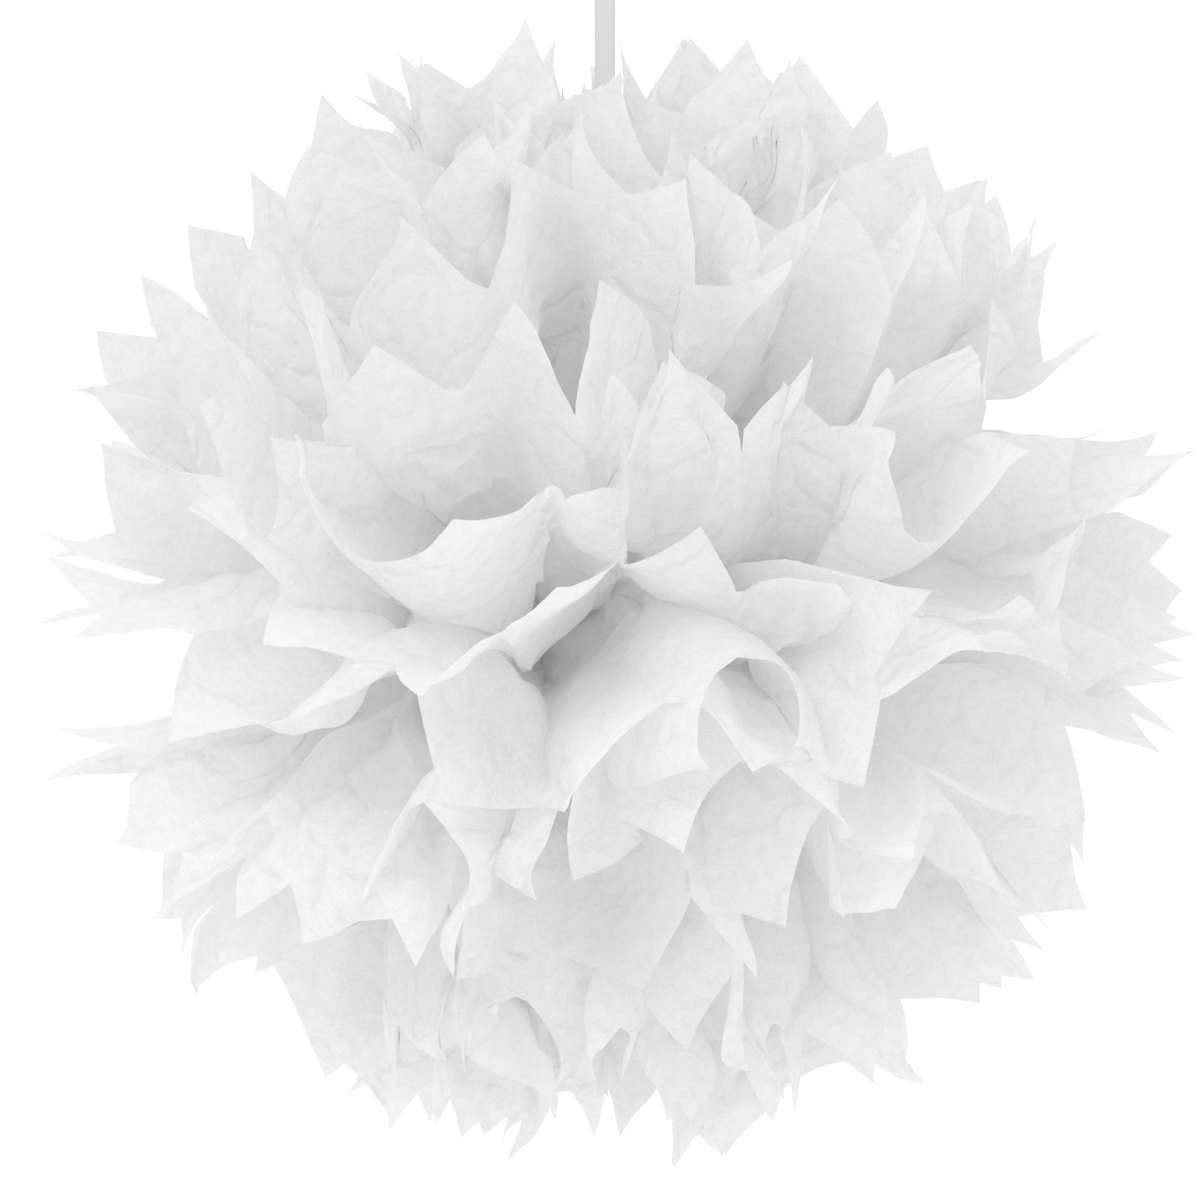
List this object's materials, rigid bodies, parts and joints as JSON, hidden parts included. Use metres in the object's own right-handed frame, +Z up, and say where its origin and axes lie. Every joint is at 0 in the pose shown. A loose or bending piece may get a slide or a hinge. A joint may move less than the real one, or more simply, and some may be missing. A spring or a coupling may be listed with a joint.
{
  "type": "hanging tissue paper pompom ball",
  "caption": "Round hanging ball of pleated white tissue sheets with pointed petals, tied at the waist and fanned out, on a flat satin ribbon with a loop.",
  "frame": {"origin": "top of the inside of the ribbon's hanging loop, where a hook or pin bears", "axes": "+Z up, out of the hook's bearing point; the ball hangs along -Z; the ribbon's face looks along -Y; X runs left to right across the ribbon and along the bundle of pleats"},
  "size_m": [0.4036, 0.3925, 0.4776],
  "materials": {
    "tissue": "thin white tissue paper, soft sheen, crumpled",
    "ribbon": "pale grey satin ribbon",
    "wire": "white coated florist wire"
  },
  "bodies": {
    "hanger": {"hanging_loop": "ribbon"},
    "knot": {"loop_knot": "ribbon"},
    "ribbon": {"hanging_ribbon": "ribbon"},
    "ball": {"upper_sheet_1": "tissue", "upper_sheet_2": "tissue", "upper_sheet_3": "tissue", "upper_sheet_4": "tissue", "upper_sheet_5": "tissue", "upper_sheet_6": "tissue", "lower_sheet_1": "tissue", "lower_sheet_2": "tissue", "lower_sheet_3": "tissue", "lower_sheet_4": "tissue", "lower_sheet_5": "tissue", "lower_sheet_6": "tissue", "waist_wire": "wire", "ribbon_knot": "ribbon"}
  },
  "joints": [
    {"name": "swing_front_back", "type": "hinge", "parent": "hanger", "child": "knot", "pos_m": [0, 0, -0.042], "axis": [1, 0, 0], "range_deg": [-30, 30]},
    {"name": "swing_side", "type": "hinge", "parent": "knot", "child": "ribbon", "pos_m": [0, 0, -0.042], "axis": [0, 1, 0], "range_deg": [-30, 30]},
    {"name": "ball_turn", "type": "hinge", "parent": "ribbon", "child": "ball", "pos_m": [0, 0, -0.275], "axis": [0, 0, 1], "range_deg": [-180, 180]}
  ]
}
